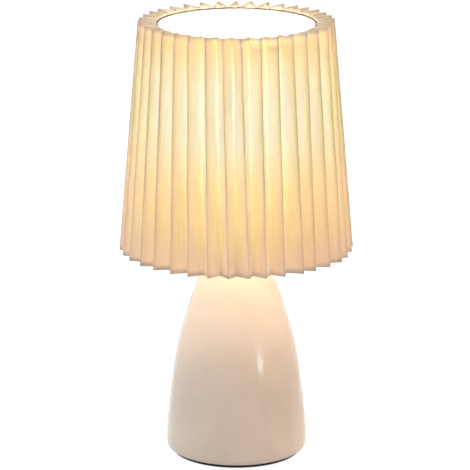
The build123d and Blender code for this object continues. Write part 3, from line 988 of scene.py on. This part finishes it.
def make_globe():
    """An opal glass, turned: the plug in the cap, the neck, a flare that runs into the globe, and back down
    inside. The outside above the neck is lit."""
    low, high = span("bulb_globe")
    sphere = high[0]
    centre = high[2] - sphere
    neck_z = low[2] + plug_length
    rim = np.array([sqrt(sphere**2 - globe_rim_drop**2), centre - globe_rim_drop])
    flare = smooth_curve([(glass_neck, neck_z), rim], (0, 1), (globe_rim_drop, rim[0]), flare_points)
    turn = np.linspace(-np.arcsin(globe_rim_drop / sphere), pi / 2, globe_points)[1:]
    globe = np.stack([np.cos(turn), np.sin(turn)], -1) * sphere + [0, centre]
    outer = np.concatenate([flare, globe])
    along = np.gradient(outer, axis=0)
    along = along / np.linalg.norm(along, axis=1, keepdims=True)
    inner = outer - glass_wall * np.stack([along[:, 1], -along[:, 0]], -1)
    outer[-1, 0] = 0
    inner[-1, 0] = 0
    plug_bore = plug_radius - plug_wall
    floor_z = neck_z + glass_wall
    plug = [
        (plug_bore, low[2]),
        (plug_radius, low[2]),
        (plug_radius, neck_z),
        (glass_neck - neck_bevel, neck_z),
    ]
    floor = [(glass_neck - glass_wall, floor_z), (plug_bore, floor_z)]
    outline = np.concatenate([plug, outer[1:], inner[:0:-1], floor])
    points, faces = turned(outline, bulb_steps)
    lit = opal_glass("lit_opal_glass", bulb_strength)
    piece = make_piece("opal_bulb", points, faces, lit, "bulb", "opal_diffuser", "bulb_globe")
    piece.data.materials.append(opal_glass("opal_glass_inside", 0.0))
    count = len(piece.data.polygons)
    middle = np.zeros(3 * count, np.float32)
    normal = np.zeros(3 * count, np.float32)
    piece.data.polygons.foreach_get("center", middle)
    piece.data.polygons.foreach_get("normal", normal)
    middle = middle.reshape(-1, 3) / MM
    facing_in = ((middle - [0, 0, centre]) * normal.reshape(-1, 3)).sum(1) < 0
    unlit = facing_in | (middle[:, 2] < neck_z)
    piece.data.polygons.foreach_set("material_index", unlit.astype(np.int32))


def make_bulb_cap(metal):
    """The rolled cap, turned: a wave of one depth that climbs one pitch a turn on a thin shell, under a
    plain collar."""
    low, high = span("bulb_cap")
    collar = high[0]
    collar_z = high[2] - cap_collar_height
    shoulder_z = collar_z + collar - cap_root
    thread = np.linspace(low[2] + cap_edge, collar_z, cap_thread_points)
    below = [(cap_bore, low[2]), (cap_root - cap_bevel, low[2])]
    above = [
        (collar - collar_bevel, shoulder_z - collar_foot),
        (collar, shoulder_z + cap_edge),
        (collar, high[2] - cap_edge),
        (collar - collar_bevel, high[2]),
        (cap_bore, high[2]),
    ]
    outline = np.concatenate([below, np.stack([np.full_like(thread, cap_root), thread], -1), above])
    share = np.zeros((len(outline), 1))
    fade = np.minimum(thread - thread[0], thread[-1] - thread) / cap_thread_fade
    share[len(below):len(below) + len(thread), 0] = np.clip(fade, 0, 1)
    phase = (outline[:, 1:] - low[2] - cap_thread_start) / e27_pitch - turns(bulb_steps) / (2 * pi)
    wave = 0.5 + 0.5 * np.cos(2 * pi * phase)
    points, faces = turned(outline, bulb_steps, e27_depth * share * wave)
    make_piece("screw_cap", points, faces, metal, "cap", "cap_metal", "bulb_cap")


# The stage


def seen_rays(tree):
    """1 for rays from the eye and those that show in glass or gloss, 0 for light that falls on the lamp."""
    path = add(tree, "LightPath")
    seen = path.outputs["Is Camera Ray"]
    for kind in ("Is Transmission Ray", "Is Glossy Ray"):
        seen = add(tree, "Math", {0: seen, 1: path.outputs[kind]}, operation="MAXIMUM")
    return seen


def make_floor():
    """A pale floor that is white to the eye and keeps the shadow."""
    half = 6.0
    floor_z = -0.2 * MM
    corners = [(x, y, floor_z) for x, y in ((-half, -half), (half, -half), (half, half), (-half, half))]
    mesh = bpy.data.meshes.new("floor")
    mesh.from_pydata(corners, [], [(0, 1, 2, 3)])
    floor = bpy.data.objects.new("floor", mesh)
    bpy.context.scene.collection.objects.link(floor)
    material, tree = finish("pale_floor")
    plain = add(tree, "BsdfDiffuse", {"Color": tint("#CBCBCB")})
    shadow = add(tree, "BsdfDiffuse", {"Color": tint("#959595")})
    white = add(tree, "Emission", {"Color": tint("#FFFFFF"), "Strength": 0.86})
    bright = add(tree, "AddShader", {0: shadow, 1: white})
    shader = add(tree, "MixShader", {0: seen_rays(tree), 1: plain, 2: bright})
    add(tree, "OutputMaterial", {"Surface": shader})
    mesh.materials.append(material)


def make_surroundings():
    """White all round to the eye, and about half as bright to the lamp."""
    scene = bpy.context.scene
    scene.view_settings.view_transform = "Standard"
    scene.world = bpy.data.worlds.new("white_surroundings")
    scene.world.use_nodes = True
    tree = scene.world.node_tree
    tree.nodes.clear()
    level = add(tree, "MapRange", {"Value": seen_rays(tree), "To Min": 0.52, "To Max": 1.0})
    sky = add(tree, "Background", {"Color": tint("#FFFFFF"), "Strength": level})
    add(tree, "OutputWorld", {"Surface": sky})


def softbox(name, azimuth, elevation, distance, size, power, colour):
    """A rectangular lamp at an angle right of the front and above the table, aimed at the lamp's axis."""
    light = bpy.data.lights.new(name, "AREA")
    light.shape = "RECTANGLE"
    light.size, light.size_y = size
    light.energy = power
    light.color = tint(colour)[:3]
    turn = radians(azimuth)
    tilt = radians(elevation)
    reach = distance * cos(tilt)
    lamp = bpy.data.objects.new(name, light)
    lamp.location = (reach * sin(turn), -reach * cos(turn), aim_height + distance * sin(tilt))
    lamp.rotation_euler = (pi / 2 - tilt, 0, turn)
    bpy.context.scene.collection.objects.link(lamp)


def make_camera():
    """The photograph's camera: level from side to side and pitched down at the lamp."""
    camera = bpy.data.cameras.new("camera")
    camera.sensor_width = sensor_width
    camera.lens = focal_pixels * sensor_width / frame_pixels
    camera.clip_start = 0.05
    camera.clip_end = 50.0
    viewer = bpy.data.objects.new("camera", camera)
    viewer.location = (camera_side, -camera_distance, camera_height)
    viewer.rotation_euler = (pi / 2 - camera_pitch, 0, 0)
    bpy.context.scene.collection.objects.link(viewer)
    bpy.context.scene.camera = viewer


def dress_hidden(finishes):
    """Gives each CAD node that keeps its own mesh the finish of its slot."""
    for part in frame["record"]["subparts"]:
        if part["material_slot"] in finishes:
            mesh = frame["nodes"][part["node"]].data
            mesh.materials.clear()
            mesh.materials.append(finishes[part["material_slot"]])


make_floor()
make_surroundings()
make_camera()

# Degrees right of the front and above the table, metres away, metres wide and high, watts and colour
softbox("key_softbox", -75, 38, 2.4, (1.6, 1.6), 26.0, "#DEE6FD")
softbox("fill_softbox", 72, 32, 2.4, (1.4, 1.4), 17.0, "#FFD2A8")
softbox("strip_softbox", 45, 0.7, 1.5, (0.26, 0.15), 1.05, "#E4EDFF")
softbox("tall_strip_softbox", 45, 3.8, 1.5, (0.3, 0.27), 0.3, "#E4EDFF")

# Finishes of the smaller pieces: two shades, roughness, grain and its depth, then IOR or metal.
# Moulded thermoplastic is warm white with a broad, soft highlight.
white_plastic = grained("satin_white_thermoplastic", "#DCD8CE", "#EBE7DE", 0.38, 0.9, 0.03, 1.49)
# Moulded rubber is pale and dull, a little dusty.
rubber = grained("moulded_pale_rubber", "#B3ACA0", "#CFC8BC", 0.75, 0.8, 0.05)
# Lacquer over wire is a brown near black with a satin line of light.
bronze = grained("dark_bronze_lacquer", "#2E2720", "#4A4036", 0.38, 1.2, 0.03)
# Rolled aluminium is bright grey with blurred reflections.
rolled_metal = grained("rolled_aluminium", "#B8B9BC", "#D6D7D9", 0.27, 0.6, 0.02, metallic=1.0)
# Porcelain without a glaze is chalky white and has no highlight.
porcelain = grained("unglazed_porcelain", "#D5CFC4", "#E6E1D8", 0.7, 0.7, 0.05, 1.52)
# Zinc plate is a cool, bright grey, a little blurred.
zinc = grained("bright_zinc_plate", "#A9ABAF", "#C9CBCE", 0.3, 0.6, 0.02, metallic=1.0)
# Rolled brass is a warm yellow metal with soft reflections.
brass = grained("rolled_brass", "#B9923F", "#D9B565", 0.28, 0.5, 0.02, metallic=1.0)
# Vitreous enamel is black glass: sharp highlights on a dark body.
enamel = grained("black_vitreous_enamel", "#0A0A0B", "#16161A", 0.12, 3.0, 0.02, 1.52)
# Drawn nickel is a slightly yellow grey metal, satin from the die.
nickel = grained("drawn_nickel", "#A8A29A", "#C6C0B8", 0.32, 0.4, 0.02, metallic=1.0)
# Phosphor in silicone gel is a strong, dull yellow.
phosphor = grained("yellow_phosphor_gel", "#D9AE35", "#EBC65A", 0.6, 0.5, 0.05, 1.42)
# Solder mask is a deep green coat with a soft gloss.
solder_mask = grained("green_solder_mask", "#0F3A1E", "#1B5530", 0.35, 0.6, 0.03)

make_base()
make_pad()
make_shade()
make_shade_rings(bronze)
make_fitter(bronze)
make_cup(white_plastic)
make_barrel(white_plastic)
make_clamp(white_plastic)
make_gasket(rubber)
make_grommet(rubber)
make_globe()
make_bulb_cap(rolled_metal)
dress_hidden(
    {
        "soft_rubber": rubber,
        "zinc_steel": zinc,
        "holder_core": porcelain,
        "contact_brass": brass,
        "stem_glass": clear_glass(),
        "cap_metal": rolled_metal,
        "cap_glass": enamel,
        "lead_nickel": nickel,
        "led_phosphor": phosphor,
        "board_green": solder_mask,
    }
)
